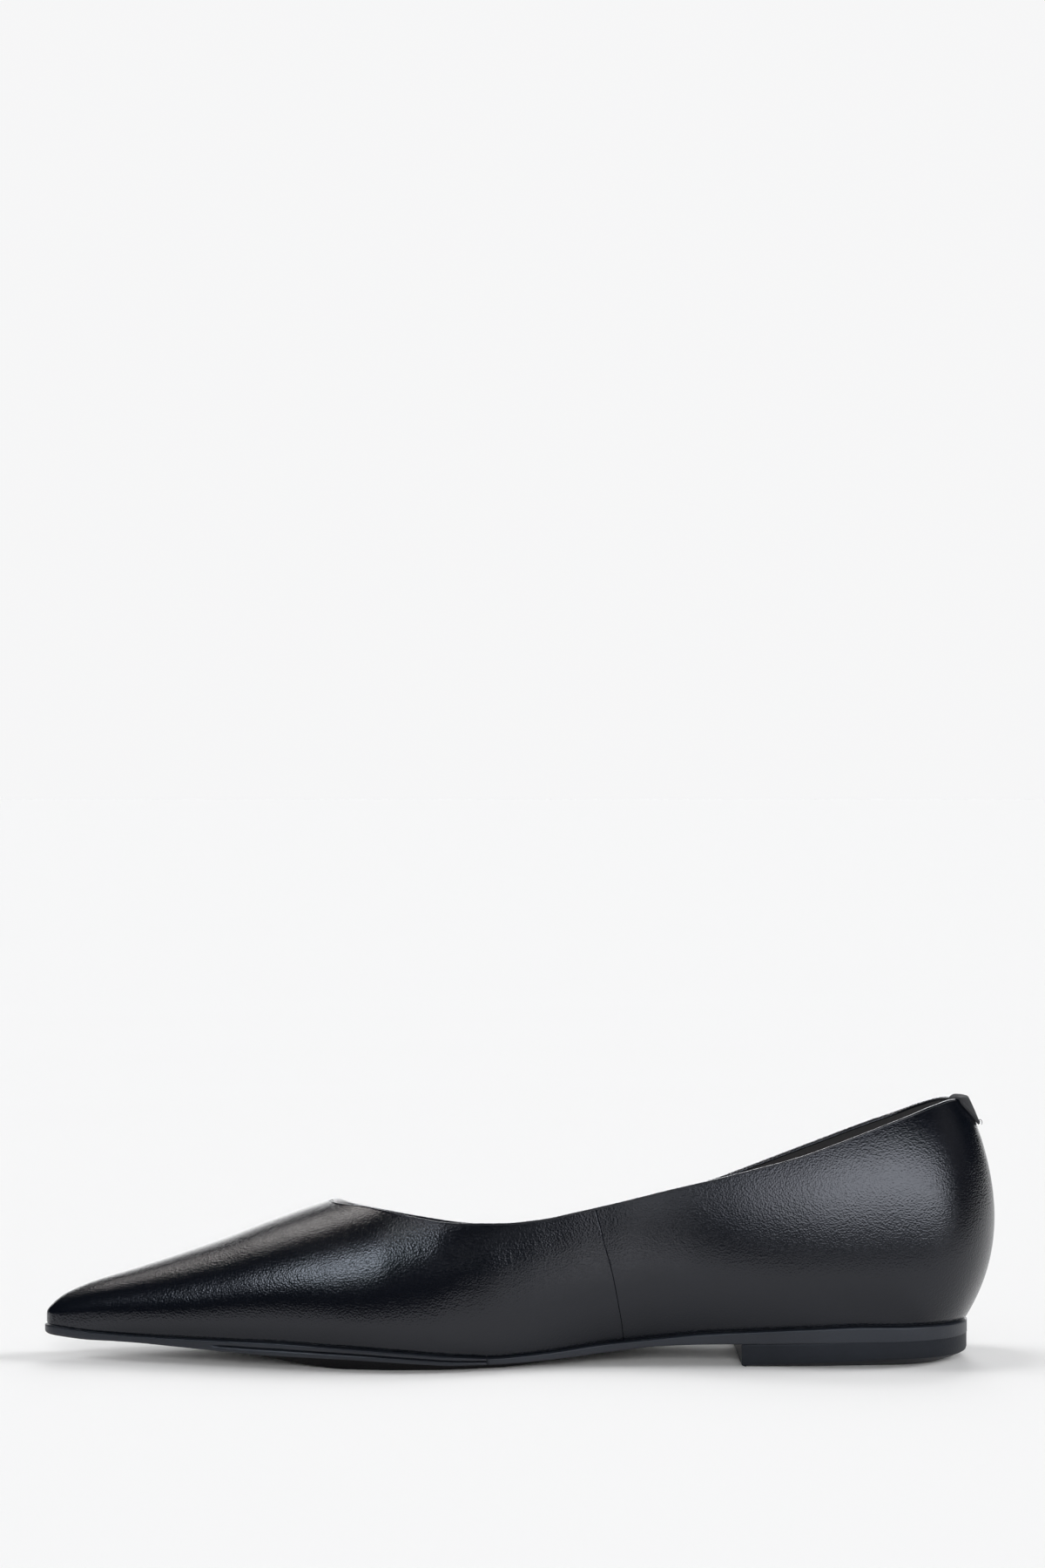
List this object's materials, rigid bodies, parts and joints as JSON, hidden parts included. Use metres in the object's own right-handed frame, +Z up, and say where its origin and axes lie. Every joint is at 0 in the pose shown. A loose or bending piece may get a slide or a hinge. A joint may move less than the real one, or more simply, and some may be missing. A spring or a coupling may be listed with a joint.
{
  "type": "pointed toe flat shoe",
  "caption": "Women's pointed toe flat shoe for the right foot: hollow leather upper, thin sole with arch and toe spring, low heel block.",
  "frame": {"origin": "middle of the footprint's box, on the floor", "axes": "+X from the toe to the heel, +Y to the outer (lateral) side, +Z up"},
  "size_m": [0.2654, 0.0822, 0.0732],
  "materials": {
    "upper_leather": "smooth semi-gloss",
    "sole": "edge stained, satin",
    "heel": "satin",
    "footbed": "matte",
    "tab": "matte"
  },
  "bodies": {
    "root": {"upper": "upper_leather", "outsole": "sole", "heel": "heel", "insole": "footbed", "heel_tab": "tab"}
  },
  "joints": []
}
